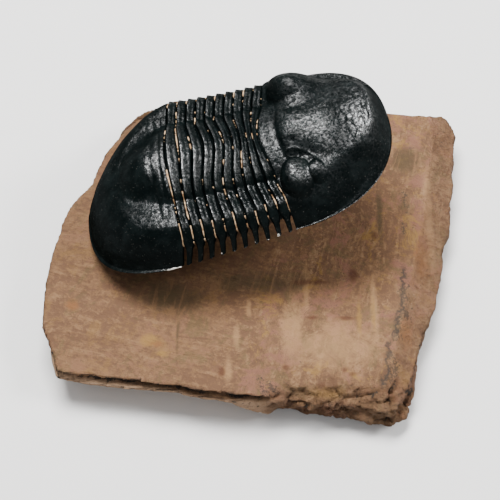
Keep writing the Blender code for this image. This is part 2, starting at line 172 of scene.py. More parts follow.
def grain(points, size, seed=0.0):
    """Smooth noise from -1 to 1 at each point, with lumps about size metres across."""
    shift = Vector((seed * 17.3, seed * 5.1, seed * 9.7))
    return np.array([noise.noise(Vector(point) + shift) for point in points / size])


class Signal:
    """One output of a shader node. Sums on it add the Math nodes that do them."""

    def __init__(self, finish, socket):
        self.finish = finish
        self.socket = socket

    def _with(self, operation, *others):
        return self.finish.node("ShaderNodeMath", {"operation": operation}, [self, *others])

    def __add__(self, other):
        return self._with("ADD", other)

    def __sub__(self, other):
        return self._with("SUBTRACT", other)

    def __rsub__(self, other):
        return self.finish.node("ShaderNodeMath", {"operation": "SUBTRACT"}, [other, self])

    def __mul__(self, other):
        return self._with("MULTIPLY", other)

    __radd__ = __add__
    __rmul__ = __mul__

    def most(self, other):
        return self._with("MAXIMUM", other)

    def size(self):
        return self._with("ABSOLUTE")

    def step(self, low, high):
        """0 below low, 1 above high, smooth between. Turned round if low is the higher."""
        if low > high:
            return 1 - self.step(high, low)
        settings = {"interpolation_type": "SMOOTHSTEP"}
        values = {"Value": self, "From Min": low, "From Max": high}
        return self.finish.node("ShaderNodeMapRange", settings, values)

    def band(self, middle, half):
        """1 at middle, falling smoothly to 0 at half away from it."""
        return (self - middle).size().step(half, 0.0)


class Finish:
    """A material in the making. node() adds any node, the rest are the few that every finish here uses."""

    def __init__(self, name):
        self.material = bpy.data.materials.new(name)
        self.material.use_nodes = True
        self.tree = self.material.node_tree
        self.surface = self.tree.nodes["Principled BSDF"]
        self.place = self.node("ShaderNodeTexCoord", {}, {}, "Object")

    def fill(self, socket, value):
        if isinstance(value, Signal):
            self.tree.links.new(value.socket, socket)
        else:
            socket.default_value = value

    def node(self, kind, settings, values, output=0):
        made = self.tree.nodes.new(kind)
        for name, value in settings.items():
            setattr(made, name, value)
        for key, value in values.items() if isinstance(values, dict) else enumerate(values):
            self.fill(made.inputs[key], value)
        return Signal(self, made.outputs[output])

    def colour(self, below, above, share):
        """below where share is 0, above where it is 1. Both are colours or Signals."""
        below, above = ((*c, 1.0) if isinstance(c, tuple) else c for c in (below, above))
        # A colour Mix node has its two colours in sockets 6 and 7, and gives its colour in output 2
        values = {"Factor": share, 6: below, 7: above}
        return self.node("ShaderNodeMix", {"data_type": "RGBA"}, values, 2)

    def tinted(self, colour, *tints):
        """A colour with one tint after another laid over it, each by its own share."""
        for tint, share in tints:
            colour = self.colour(colour, tint, share)
        return colour

    def stretched(self, scale, turn):
        """The place in the object turned about Z by turn degrees, then multiplied by scale, one per axis."""
        values = {
            "Vector": self.place,
            "Rotation": (0.0, 0.0, math.radians(turn)),
            "Scale": tuple(1 / share for share in scale),
        }
        return self.node("ShaderNodeMapping", {"vector_type": "TEXTURE"}, values)

    def clouds(self, where, scale, detail=4.0, roughness=0.55, distortion=0.0):
        """Fractal noise, mostly between 0.3 and 0.7."""
        values = {
            "Vector": where,
            "Scale": scale,
            "Detail": detail,
            "Roughness": roughness,
            "Distortion": distortion,
        }
        return self.node("ShaderNodeTexNoise", {}, values)

    def attribute(self, name):
        """A number that was painted on the mesh under this name."""
        return self.node("ShaderNodeAttribute", {"attribute_name": name}, {}, "Fac")

    def apart(self, vector):
        """The three numbers of a vector."""
        split = self.node("ShaderNodeSeparateXYZ", {}, [vector]).socket.node
        return tuple(Signal(self, split.outputs[k]) for k in range(3))

    def relief(self, height, depth, under=None):
        """A Bump of depth metres, on top of another one if under is given."""
        values = {"Strength": 1.0, "Distance": depth, "Height": height}
        if under:
            values["Normal"] = under
        return self.node("ShaderNodeBump", {}, values)

    def done(self, colour, roughness, normal, specular=0.5):
        """The material, with these on its surface."""
        self.fill(self.surface.inputs["Base Color"], colour)
        self.fill(self.surface.inputs["Roughness"], roughness)
        self.fill(self.surface.inputs["Normal"], normal)
        self.surface.inputs["Specular IOR Level"].default_value = specular
        return self.material


def limestone():
    """Tan stone: mottled tones, pen strokes, rust, ochre and slate patches, stains that are partly painted
    shadow, and pale patches that are partly painted light.
    """
    rock = Finish("limestone")
    broad = rock.clouds(rock.place, *BROAD)
    blotches = rock.clouds(rock.place, *BLOTCHES)
    hue = rock.clouds(rock.place, *HUES)
    mottled = rock.clouds(rock.place, *MOTTLES)
    crevices = rock.clouds(rock.place, *CREVICES)
    speckled = rock.clouds(rock.place, *SPECKLES)
    fine = rock.clouds(rock.place, *FINE_GRAIN)
    vivid = mottled.step(0.32, 0.68)

    # The pen was held one way on the left part and another on the right
    x, y = rock.apart(rock.place)[:2]
    left = (x - y * STROKE_EDGE_LEAN - STROKE_EDGE_X).step(STROKE_EDGE_SOFT, -STROKE_EDGE_SOFT)
    right = 1 - left
    left_strokes = rock.clouds(rock.stretched(LEFT_STROKES, STROKE_TURN), 1.0, 6.0, 0.68, 2.2)
    right_strokes = rock.clouds(rock.stretched(RIGHT_STROKES, STROKE_TURN), 1.0, 6.0, 0.68, 1.8)
    strokes = right_strokes + (left_strokes - right_strokes) * left

    tone = broad * 0.25 + blotches * 0.40 + strokes * 0.45 + mottled * 0.50 + speckled * 0.70 + fine * 0.45
    colour = rock.tinted(
        rock.colour(PINK_TAN, TAN, tone.step(1.27, 1.45)),
        (CREAM, (speckled * 0.6 + strokes * 0.5).step(0.55, 0.70) * (0.35 + right * 0.35)),
        (ROSE, (blotches * 0.6 + mottled * 0.6).step(0.61, 0.69) * (0.30 + right * 0.55)),
        (OCHRE, hue.step(0.54, 0.64) * (0.25 + right * 0.40)),
        (OLIVE, hue.step(0.47, 0.38) * 0.50),
        (RUST, (speckled * 0.5 + hue * 0.5).step(0.60, 0.66) * 0.45),
    )
    for name, (tint, share) in PATCH_TINTS.items():
        shown = (rock.attribute(name) + vivid * 0.50 - 0.45).step(0.0, 0.75)
        colour = rock.colour(colour, tint, shown * share)

    # Broken faces are livelier. Their clefts and the split under the front edge are darkened as painted
    # shade. A slate line wanders along the break on the right.
    broken = rock.attribute("broken")
    # The stained patches, partly painted shadow, also carry light pen strokes
    stained_and_shaded = rock.attribute("stained_and_shaded")
    slate_patch = rock.attribute("slated")
    beyond = rock.attribute("beyond")
    wander = beyond + (blotches - 0.5) * 9.0 + (mottled - 0.5) * 6.0 + (speckled - 0.5) * 3.0
    grit = (fine * 0.6 + speckled * 0.6 + slate_patch * 0.10).step(0.66, 0.72)
    slated = (wander.band(-1.0, 1.0) * 0.95).most(grit * 0.8) * slate_patch.step(0.08, 0.45)
    scraped = right_strokes.step(0.50, 0.62) * stained_and_shaded.step(0.05, 0.6)
    freckled = (speckled * 0.7 + mottled * 0.3 + broken * 0.06).step(0.60, 0.66)
    # Painted shade: the clefts of broken faces and the split under the front edge are darkened
    cracks_shaded = (rock.attribute("crack_shade") * 0.34 + crevices).step(0.70, 0.82)
    hair = rock.clouds(rock.place, *HAIR_CRACKS).band(0.5, 0.010) * blotches.step(0.48, 0.56)
    colour = rock.tinted(
        colour,
        (TAN, broken * 0.35),
        (CREAM, broken * mottled.step(0.44, 0.56) * 0.45),
        (ORANGE, broken * blotches.step(0.50, 0.62) * 0.40),
        (ROSE, broken * hue.step(0.50, 0.58) * 0.50),
        # Painted light: the shaded shelf under the front split is laid paler
        (LEDGE_PALE_AND_LIT, rock.attribute("shelf_painted_lit") * (0.55 + mottled * 0.7)),
        (TAN, scraped * 0.70),
        (SLATE, freckled * 0.50),
        (SLATE, cracks_shaded * 0.85),
        (SLATE, slated * 0.85),
        (SLATE, hair * 0.45),
    )
    normal = rock.relief(strokes, 0.35 * MM)
    normal = rock.relief(mottled, 0.50 * MM, normal)
    normal = rock.relief(crevices * broken, 2.2 * MM, normal)
    normal = rock.relief(speckled * (1 + broken * 1.5), 0.34 * MM, normal)
    return rock.done(colour, 0.70 + fine * 0.25, normal, 0.25)


def beyond_break(x, y):
    """How far a place lies to the right of the line where the upper face breaks down."""
    return x - np.interp(y, BREAK_LINE_Y, BREAK_LINE_X)


def patches(x, y, places):
    """1 in the middle of each patch, fading to 0 at its rim and beyond."""
    most = np.zeros_like(x)
    for middle_x, middle_y, half_x, half_y in places:
        reach = np.hypot((x / MM - middle_x) / half_x, (y / MM - middle_y) / half_y)
        most = np.maximum(most, np.exp(-1.2 * reach * reach))
    return most


def per_vertex(data, name):
    """The places ("co") or the normals ("normal") of a mesh's vertices, one row each."""
    flat = np.empty(len(data.vertices) * 3)
    data.vertices.foreach_get(name, flat)
    return flat.reshape(-1, 3)


def paint(data, name, values):
    """Keeps one number per vertex under a name that a material reads."""
    layer = data.attributes.new(name, "FLOAT", "POINT")
    layer.data.foreach_set("value", np.asarray(values, dtype=np.float32))


def even_faces(name, voxel):
    """A mesh of the CAD's node in small even faces."""
    copy = bmesh.new()
    copy.from_mesh(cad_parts[name].data)
    bmesh.ops.remove_doubles(copy, verts=copy.verts[:], dist=MM / 1000)
    coarse = bpy.data.meshes.new(f"{name}_coarse")
    copy.to_mesh(coarse)
    copy.free()
    holder = bpy.data.objects.new(f"{name}_coarse", coarse)
    bpy.context.scene.collection.objects.link(holder)
    remesh = holder.modifiers.new("even_faces", "REMESH")
    remesh.mode = "VOXEL"
    remesh.voxel_size = voxel
    data = bpy.data.meshes.new_from_object(holder.evaluated_get(bpy.context.evaluated_depsgraph_get()))
    bpy.data.objects.remove(holder)
    return data


def block_of_rock():
    """The CAD's block in small even faces, with its breaks roughened and its patches painted."""
    data = even_faces("rock", ROCK_VOXEL)
    points = per_vertex(data, "co")
    normals = per_vertex(data, "normal")
    x, y, z = points.T

    # Which faces are broken, and how roughly
    steep = even((STEEP_BELOW - np.abs(normals[:, 2])) / STEEP_OVER)
    on_slab = even((SLAB_TOP + 0.3 * MM - z) / (0.8 * MM))
    facet = even(beyond_break(x, y) / (1.0 * MM)) * even((normals[:, 2] - 0.3) / 0.3)
    corner = even((x - CORNER_X) / (5 * MM)) * even((CORNER_Y - y) / (3 * MM))
    stem_side = steep * (1 - on_slab) * even((SLAB_TOP + STEM_ROUGH_HEIGHT - z) / (6 * MM))
    broken = np.maximum(steep * on_slab, facet * FACET_ROUGHNESS) + corner * on_slab * CORNER_ROUGHNESS
    broken = np.clip(broken + stem_side * STEM_ROUGHNESS, 0.0, 1.0)

    # The split that runs under the left part of the front edge
    left_front = even((LEDGE_X - x) / (12 * MM)) * even((LEDGE_Y - y) / (6 * MM))
    ledge = left_front * steep
    crevice = ridge(z - SLAB_TOP + CREVICE_DEPTH, CREVICE_HALF) * ledge
    # The shelf below the split, which the material paints paler as painted light
    shelf_painted_lit = left_front * even((SLAB_TOP - SHELF_DEPTH - z) / (0.5 * MM))

    # How far each face is pushed out, in millimetres
    beds = points * np.array([1.0, 1.0, BED_FLATNESS])
    lumps = sum(reach * grain(beds, size, seed) for seed, (size, reach) in enumerate(LUMPS, 1))
    clefts = ridge(grain(beds, CLEFT_SIZE, 15), CLEFT_HALF)
    swollen = grain(points, 9.0 * MM, 4) * 0.10 + grain(points, 3.0 * MM, 5) * 0.05
    rough = lumps * (0.55 + 0.75 * corner) - clefts * (0.25 + 0.9 * corner) - 0.25
    rough = rough * (1 - 0.6 * ledge)
    far_corner = ridge(x - FAR_CORNER_X, FAR_CORNER_HALF) * even((y - FAR_CORNER_Y) / (5 * MM)) * steep
    push = swollen + broken * rough - CREVICE_CUT * crevice + FAR_CORNER_BULGE * far_corner
    points += normals * (push * MM * even(z / FOOT_HEIGHT))[:, None]
    points[:, 2] = np.maximum(points[:, 2], 0.0)
    data.vertices.foreach_set("co", points.ravel())
    data.shade_smooth()

    paint(data, "broken", broken)
    # Painted shade in the split under the front edge and in the clefts of broken faces
    paint(data, "crack_shade", np.maximum(crevice * 1.5, clefts * broken))
    # Painted light on the shaded shelf under the split
    paint(data, "shelf_painted_lit", shelf_painted_lit)
    paint(data, "beyond", beyond_break(x, y) / MM)
    faces_up = normals[:, 2] > 0.2
    for name, places in PATCHES.items():
        paint(data, name, patches(x, y, places) * faces_up)
    return data


def finished(name, data, material, slot, *nodes):
    """A mesh as a piece that rides on the block and stands for CAD nodes."""
    data.materials.clear()
    data.materials.append(material)
    piece = bpy.data.objects.new(name, data)
    bpy.context.scene.collection.objects.link(piece)
    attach(piece, "root")
    if nodes:
        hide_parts(*nodes)


finished("rock_block", block_of_rock(), limestone(), "limestone", "rock")

# The body segments: ten overlapping plates of black calcite, each with a raised ring on the axis, a level
# inner flank, and a steep outer flank that ends in a free spine. They are grown fast to the rock below, and
# are numbered from the head backwards.

TAIL_LENGTH = 28.0 * MM
THORAX_LENGTH = 25.2 * MM
HEAD_LENGTH = 29.6 * MM
BODY_LENGTH = TAIL_LENGTH + THORAX_LENGTH + HEAD_LENGTH
SEGMENTS = 10
FIRST_JOINT = TAIL_LENGTH
LAST_JOINT = TAIL_LENGTH + THORAX_LENGTH
# Pairs hold a value at the first joint, which is the rear one, and at the last
HALF_WIDTH_REAR = 24.3 * MM
HALF_WIDTH_FRONT = 21.8 * MM
HALF_WIDTHS = (HALF_WIDTH_REAR, HALF_WIDTH_FRONT)
AXIS_HALF = (11.6 * MM, 10.9 * MM)
FLANK_TOP_SHARE = (0.68, 0.73)
FURROW_LIFT = (9.5 * MM, 7.6 * MM)
AXIS_RISE = (4.2 * MM, 4.0 * MM)
FLANK_SWEEP = (0.6 * MM, 1.4 * MM)
TIP_SWEEP = (-1.4 * MM, 1.0 * MM)
FLANK_SWEEP_AT = 0.80
FLANK_CURVE = 1.15
RING_ARCH = 2.2 * MM
RING_ARCH_FALL = 0.13 * MM
RING_ARCH_JOINT = 4.5
# The arched line of the body: its tail end, its slopes in degrees at the tail end, the first joint, the last
# joint and the front, and its turns in degrees at both ends
TAIL_POINT = (-43.593 * MM, 7.667 * MM, 13.1 * MM)
PITCH_DEG = (47.6, 12.1, 16.7, 25.9)
YAW_DEG = (3.0, 13.0)
LINE_STEPS = 1200
LINE_SPARE = 6.0 * MM
FAR_TAPER = 0.06

PLATE_THICKNESS = 1.5 * MM
RIM_HEIGHT = 0.5 * MM
RIM_WIDTH = 0.7 * MM
JOINT_GAP = 0.16 * MM
SIDE_CROWDING = 0.35
SHARP_EDGE_DEG = 60
SEGMENT_ROWS = 16
SEGMENT_COLUMNS = 220
SEGMENT_DRAW_BACK = (0.02, 0.02)
SPINE_START = 0.87
SPINE_NECK_LOSS = 0.42
SPINE_NECK_SHARE = 0.3
SPINE_TAPER_FROM = 0.15
SPINE_TIP_SHARE = 0.24
# Across a segment's length from rear 0 to front 1, with heights in millimetres
CREST_AT = 0.24
CREST_RISE = 0.92
GROOVE_AT = 0.66
GROOVE_HALF = 0.09
GROOVE_DEPTH = 0.08
EDGE_SHARE = 0.10
EDGE_FALL = 0.18
SEGMENT_SINK = 0.22

SHELL_DARK = (0.0012, 0.0024, 0.0024)
SHELL_GREY = (0.0040, 0.0062, 0.0062)
# White of chipped shell, also used as painted glints on the spine tips and as a painted highlight on the
# head's near edge
SHELL_WORN_AND_GLINT = (0.55, 0.52, 0.47)
SHELL_IOR = 2.0
DULL_ROUGHNESS = 0.75
# The upward share from which a face has all of its polish
FULLY_UP = 0.97
# Cloud patterns in the shell, given as those in the stone are
SHELL_MOTTLES = (260.0, 6.0, 0.65, 0.3)
SHELL_PITS = (1100.0, 4.0, 0.6)
SHELL_POLISH = (1900.0, 3.0, 0.6)
# Fine pale flecks, partly the shell's own speckle and partly painted glints
SHELL_SPECKS_AND_GLINTS = (2600.0, 2.0, 0.5)
# How much more the brush polished the crest than it did the rest of a segment, and the far flank
CREST_SHINE = 1.5
TROUGH_SHINE = -0.55
FAR_SHINE = -0.5


def between(pair, share):
    """The value at a share of the way from the first of a pair to the second."""
    return pair[0] + (pair[1] - pair[0]) * share


def walked_line():
    """The arched line of the body, walked in small steps from the tail end.

    It gives how far along each step is, and its point, its upward direction and its far-side direction.
    """
    stations = np.linspace(-LINE_SPARE, BODY_LENGTH + LINE_SPARE, LINE_STEPS)
    pitch = np.radians(np.interp(stations, (0.0, FIRST_JOINT, LAST_JOINT, BODY_LENGTH), PITCH_DEG))
    yaw = np.radians(np.interp(stations, (0.0, BODY_LENGTH), YAW_DEG))
    level = np.stack([np.cos(yaw), np.sin(yaw), 0 * yaw], 1)
    up = np.array([0.0, 0.0, 1.0])
    ahead = level * np.cos(pitch)[:, None] + up * np.sin(pitch)[:, None]
    ups = up * np.cos(pitch)[:, None] - level * np.sin(pitch)[:, None]
    sides = np.stack([-np.sin(yaw), np.cos(yaw), 0 * yaw], 1)
    walk = np.cumsum((ahead[1:] + ahead[:-1]) / 2 * (stations[1] - stations[0]), axis=0)
    points = np.concatenate([np.zeros((1, 3)), walk])
    start = np.array([np.interp(0.0, stations, column) for column in points.T])
    return stations, points - start + np.array(TAIL_POINT), ups, sides


LINE = walked_line()


def placed(along, across, lift):
    """World points of body coordinates. The far side is pressed a little narrower towards the tail."""
    stations, *tables = LINE
    across = across * np.where(across > 0, 1 - FAR_TAPER * (1 - along / BODY_LENGTH), 1.0)
    points, ups, sides = (
        np.stack([np.interp(along, stations, column) for column in table.T], 1) for table in tables
    )
    return points + sides * across[:, None] + ups * lift[:, None]


def flank(reach, top_lift, top_share):
    """Level out to top_share of the way from the axis to the edge, then a rounded fall to zero."""
    fall = np.clip((reach - top_share) / (1 - top_share), 0.0, 1.0)
    return top_lift * np.cos(math.pi / 2 * fall**FLANK_CURVE)


def swell(reach, rise, power=0.75):
    """A rounded ridge: rise in the middle, nothing at reach 1 and beyond."""
    return rise * np.maximum(0.0, 1 - reach * reach) ** power


def thorax_lift(along, across):
    """The smooth shell of the segments: level flanks that fall to the edge, and the axis raised on them."""
    share = np.clip((along - FIRST_JOINT) / THORAX_LENGTH, 0.0, 1.0)
    reach = np.abs(across) / between(HALF_WIDTHS, share)
    lift = flank(reach, between(FURROW_LIFT, share), between(FLANK_TOP_SHARE, share))
    return lift + swell(np.abs(across) / between(AXIS_HALF, share), between(AXIS_RISE, share))


def joint_line(joint, t):
    """Where joint number joint (0 behind, SEGMENTS in front) crosses the body at t, from -1 to 1."""
    share = joint / SEGMENTS
    reach = np.abs(t)
    axis_share = between(AXIS_HALF, share) / between(HALF_WIDTHS, share)
    arch = RING_ARCH - RING_ARCH_FALL * (joint - RING_ARCH_JOINT) ** 2
    along = FIRST_JOINT + THORAX_LENGTH * share + np.where(
        reach < axis_share, arch * np.cos(math.pi / 2 * np.minimum(1.0, reach / axis_share)) ** 2, 0.0
    )
    flank_sweep, tip_sweep = between(FLANK_SWEEP, share), between(TIP_SWEEP, share)
    inner = flank_sweep * even((reach - axis_share) / (FLANK_SWEEP_AT - axis_share))
    outer = between((flank_sweep, tip_sweep), ((reach - FLANK_SWEEP_AT) / (1 - FLANK_SWEEP_AT)) ** 2)
    return along + np.where(reach < FLANK_SWEEP_AT, inner, outer)


def doubled_grid(name, columns, rows):
    """Two flat grids from -1 to 1 joined round their edges: a mesh, its places and the lower grid's count."""
    grid = bmesh.new()
    bmesh.ops.create_grid(grid, x_segments=columns, y_segments=rows, size=1.0)
    lower_count = len(grid.verts)
    bmesh.ops.extrude_face_region(grid, geom=grid.faces[:])
    grid.verts.index_update()
    data = bpy.data.meshes.new(name)
    grid.to_mesh(data)
    grid.free()
    return data, per_vertex(data, "co"), lower_count


def turned_outward(data):
    """Turns the faces of a closed mesh outwards."""
    closed = bmesh.new()
    closed.from_mesh(data)
    bmesh.ops.recalc_face_normals(closed, faces=closed.faces[:])
    if closed.calc_volume(signed=True) < 0:
        bmesh.ops.reverse_faces(closed, faces=closed.faces[:])
    closed.to_mesh(data)
    closed.free()


def grid_shares(flat):
    """A flat grid's rows as s from 0 to 1, and its columns as t from -1 to 1, crowded towards the sides."""
    s = (flat[:, 1] + 1) / 2
    t = flat[:, 0] * (1 + SIDE_CROWDING - SIDE_CROWDING * flat[:, 0] ** 2)
    return s, t


def plate(name, rows, columns, outline, lift, details, draw_back):
    """A curved plate: of two joined grids, the lower becomes its inside and the upper its outside.

    outline(s, t) gives body coordinates, lift(along, across) the smooth shell, and details(s, t, along,
    across) its relief. draw_back is how far the inside stays within the rear and front edges, as shares of s.
    """
    data, flat, inner_count = doubled_grid(name, columns, rows)
    s, t = grid_shares(flat[inner_count:])
    along, across = outline(s, t)
    height = lift(along, across) + details(s, t, along, across)
    outside = placed(along, across, np.maximum(RIM_HEIGHT, height))
    outside_body = np.stack([along / MM, across / MM, s], 1)
    s, t = grid_shares(flat[:inner_count])
    s = draw_back[0] + s * (1 - draw_back[0] - draw_back[1])
    along, across = outline(s, t * (1 - RIM_WIDTH / HALF_WIDTH_REAR))
    inside = placed(along, across, np.maximum(0.0, lift(along, across) - PLATE_THICKNESS))
    inside_body = np.stack([along / MM, across / MM, s], 1)
    data.vertices.foreach_set("co", np.concatenate([inside, outside]).ravel())
    body = np.concatenate([inside_body, outside_body])
    for column_name, column in zip(("along", "across", "forward"), body.T):
        paint(data, column_name, column)
    turned_outward(data)
    paint(data, "upward", per_vertex(data, "normal")[:, 2])
    data.shade_smooth()
    data.set_sharp_from_angle(angle=math.radians(SHARP_EDGE_DEG))
    return data


def body_columns(data):
    """Body coordinates of a plate's vertices in millimetres, and their place from rear 0 to front 1."""
    columns = []
    for name in ("along", "across", "forward"):
        column = np.empty(len(data.vertices), dtype=np.float32)
        data.attributes[name].data.foreach_get("value", column)
        columns.append(column)
    return columns


def black_shell(name, wrinkle_size, wrinkle_depth, least_up):
    """Polished black calcite: green-black, faintly mottled, finely wrinkled, chipped white by wear, with
    painted white glints and flecks and a painted highlight.

    Flanks steeper than least_up, an upward share, kept little of the polish. The painted shine says where the
    brush polished more, above 0, and where less.
    """
    shell = Finish(name)
    mottled = shell.clouds(shell.place, *SHELL_MOTTLES)
    pits = shell.clouds(shell.place, *SHELL_PITS)
    polish = shell.clouds(shell.place, *SHELL_POLISH)
    # Painted glints: fine pale flecks laid in the colour, together with the shell's own speckle
    specks_and_glints = shell.clouds(shell.place, *SHELL_SPECKS_AND_GLINTS).step(0.66, 0.78) * 0.09
    wrinkles = shell.clouds(shell.place, 1.0 / wrinkle_size, 5.0, 0.66, 0.8)
    # Chipped white at the tail's corner, painted glints at the spine tips, and a painted highlight on the
    # head's near edge
    chips_and_glints = (shell.attribute("worn_and_glinting") + pits * 0.9 + mottled * 0.4 - 0.65).step(0.62, 0.72)
    colour = shell.colour(SHELL_DARK, SHELL_GREY, mottled.step(0.42, 0.70))
    colour = shell.colour(colour, SHELL_WORN_AND_GLINT, specks_and_glints.most(chips_and_glints))
    normal = shell.relief(wrinkles, wrinkle_depth)
    normal = shell.relief(pits, 0.18 * MM, normal)
    shell.surface.inputs["IOR"].default_value = SHELL_IOR
    shell.done(colour, 0.13 + mottled * 0.16, normal)

    # Only a share of the surface took the polish, and the rest stayed dull
    upper = shell.attribute("upward").step(least_up, FULLY_UP)
    glints = 0.05 + (polish + wrinkles * 0.6).step(0.63, 1.08) * 0.54
    polished = 0.02 + upper * glints * (1 + shell.attribute("shine"))
    values = {"Base Color": colour, "Roughness": DULL_ROUGHNESS, "Specular IOR Level": 0.0, "Normal": normal}
    dull = shell.node("ShaderNodeBsdfPrincipled", {}, values)
    glossy = Signal(shell, shell.surface.outputs[0])
    mixed = shell.node("ShaderNodeMixShader", {}, [polished, dull, glossy])
    shell.tree.links.new(mixed.socket, shell.tree.nodes["Material Output"].inputs["Surface"])
    return shell.material


def segment_outline(joint, s, t):
    """Body coordinates on a segment: s from its rear joint to its front one, t from side to side."""
    half = between(HALF_WIDTHS, (joint + 0.5) / SEGMENTS)
    rear = joint_line(joint, t) + JOINT_GAP / 2
    front = joint_line(joint + 1, t) - JOINT_GAP / 2
    x = (np.abs(t) - SPINE_START) / (1 - SPINE_START)
    taper = np.clip((x - SPINE_TAPER_FROM) / (1 - SPINE_TAPER_FROM), 0.0, 1.0)
    neck = SPINE_NECK_LOSS * even(x / SPINE_NECK_SHARE)
    width = 1 - neck - (1 - SPINE_NECK_LOSS - SPINE_TIP_SHARE) * taper
    return (rear + front) / 2 + (s - 0.5) * (front - rear) * width, half * t


def segment_details(joint, s, t, along, across):
    """The crest near the rear edge, the groove ahead of it, rounded edges, and small unevenness."""
    crest = even(s / CREST_AT) * (1 - np.clip((s - CREST_AT) / (1 - CREST_AT), 0.0, 1.0))
    groove = ridge(s - GROOVE_AT, GROOVE_HALF)
    edges = 1 - even(np.minimum(s, 1 - s) / EDGE_SHARE)
    spots = np.stack([across, along * 1.6, 0 * along + joint * 0.01], 1)
    uneven = grain(spots, 1.1 * MM, 6) * 0.07 + grain(spots, 0.45 * MM, 7) * 0.035
    relief = CREST_RISE * crest - GROOVE_DEPTH * groove - EDGE_FALL * edges - SEGMENT_SINK + uneven
    return relief * MM


SEGMENT_SHELL = black_shell("segment_shell", wrinkle_size=1.4 * MM, wrinkle_depth=0.14 * MM, least_up=0.72)
for joint in range(SEGMENTS):
    number = SEGMENTS - joint
    segment = plate(
        f"body_segment_{number:02d}",
        SEGMENT_ROWS,
        SEGMENT_COLUMNS,
        lambda s, t: segment_outline(joint, s, t),
        thorax_lift,
        lambda s, t, along, across: segment_details(joint, s, t, along, across),
        SEGMENT_DRAW_BACK,
    )
    along, across, forward = body_columns(segment)
    ribs = between((CREST_SHINE, TROUGH_SHINE), even((forward - 0.30) / 0.22))
    paint(segment, "shine", (1 + ribs) * (1 + FAR_SHINE * even((across - 9) / 4)) - 1)
    tip = np.abs(across) * MM / between(HALF_WIDTHS, (joint + 0.5) / SEGMENTS)
    patchy = grain(np.stack([across, np.full_like(across, joint * 1.7), 0 * across], 1), 0.6, 17)
    # Painted glints: white patches on the spine tips
    paint(segment, "worn_and_glinting", even((tip - 0.94) / 0.06) * (0.42 + 0.5 * patchy))
    piece = f"segment_plate_{number:02d}"
    finished(piece, segment, SEGMENT_SHELL, "black_shell", f"body_segment_{number:02d}")

# The rock left in the joints: a narrow strip of pale limestone in each, level with the plates in places and
# deep between them elsewhere. It is the same stone as the block and joined to it.

FILL_HALF = 0.20 * MM
FILL_REACH = 0.88
FILL_SUNK = 0.28 * MM
FILL_DEEP = 1.1 * MM
FILL_THICKNESS = 0.8 * MM
FILL_COLUMNS = 260
# More of the rock is left in the two rearmost joints, and at the sides of all of them
FULLER_JOINTS = (0, 1)
FULLER_BY = 0.35
FULLER_SIDES_FROM = 0.70
FULLER_SIDES_BY = 0.62
JOINT_CREAM = (0.55, 0.38, 0.23)
JOINT_BROWN = (0.22, 0.12, 0.06)


def joint_stone():
    """Cream and brown stone where it stands high, painted as dark as the shell where it lies deep, as painted
    shade between the plates.
    """
    stone = Finish("joint_stone")
    mottled = stone.clouds(stone.place, 700.0, 4.0, 0.6)
    colour = stone.colour(JOINT_BROWN, JOINT_CREAM, mottled.step(0.35, 0.60))
    # Painted shade: where the strip lies deep between the plates it takes the shell's dark colour
    colour = stone.colour(SHELL_GREY, colour, stone.attribute("high").step(0.35, 0.80))
    return stone.done(colour, 0.85, stone.relief(mottled, 0.2 * MM), 0.15)


def joint_strip(joint):
    """A closed strip along one joint. Where it stands high, its pale back shows between the plates."""
    data, flat, lower_count = doubled_grid(f"joint_strip_{joint:02d}", FILL_COLUMNS, 2)
    t = flat[:, 0] * FILL_REACH
    across = t * between(HALF_WIDTHS, joint / SEGMENTS)
    spots = np.stack([across, 0 * across + joint * 0.013, 0 * across], 1)
    ragged = 0.85 + 1.0 * grain(spots, 0.6 * MM, 21)
    along = joint_line(joint, t) + flat[:, 1] * FILL_HALF * ragged
    outer = even((np.abs(t) - FULLER_SIDES_FROM) / 0.08)
    fuller = FULLER_BY if joint in FULLER_JOINTS else 0.0
    uneven = grain(spots, 4.0 * MM, 8) + 0.6 * grain(spots, 1.2 * MM, 9) + 0.5 * grain(spots, 0.5 * MM, 16)
    shown = uneven + FULLER_SIDES_BY * outer + fuller - 0.45
    high = even(shown / 0.25 + 0.5)
    # Where it is low, the material paints it dark, as painted shade between the plates
    paint(data, "high", high)
    depth = FILL_SUNK + FILL_DEEP * (1 - high)
    depth = depth + np.where(np.arange(len(flat)) < lower_count, FILL_THICKNESS, 0.0)
    points = placed(along, across, thorax_lift(along, across) - depth)
    data.vertices.foreach_set("co", points.ravel())
    turned_outward(data)
    data.shade_smooth()
    return data


JOINT_STONE = joint_stone()
for joint in range(SEGMENTS + 1):
    finished(f"joint_stone_{joint:02d}", joint_strip(joint), JOINT_STONE, "limestone")

# The tail shield: one broad plate of black calcite on the rock, with the short tapering end of the axis, two
# faint furrows beside it and a smooth steep border. Its near corner is chipped down to white.

# Near side, then far side
TAIL_OUTLINE_POWER = (2.2, 1.32)
TAIL_AXIS_LENGTH = 11.5 * MM
TAIL_AXIS_POWER = 0.75
TAIL_AXIS_POWER_GAIN = 0.9
TAIL_TOP_LOSS = 0.40
CORNER_SIDE = 2.5 * MM
TAIL_ROWS = 150
TAIL_COLUMNS = 190
TAIL_DRAW_BACK = (0.04, 0.0)
# Relief on the tail in millimetres, with places measured back from the first joint and out from the axis
TAIL_FURROWS_AT = (1.5, 3.4)
TAIL_HOLLOW_AT = (4.2, 7.6)
TAIL_ARC_RADIUS = 10.8
TAIL_KNOB_AT = (6.9, -0.6)
TAIL_KNOB_HALF = (4.8, 8.5)
TAIL_KNOB_RISE = 1.2


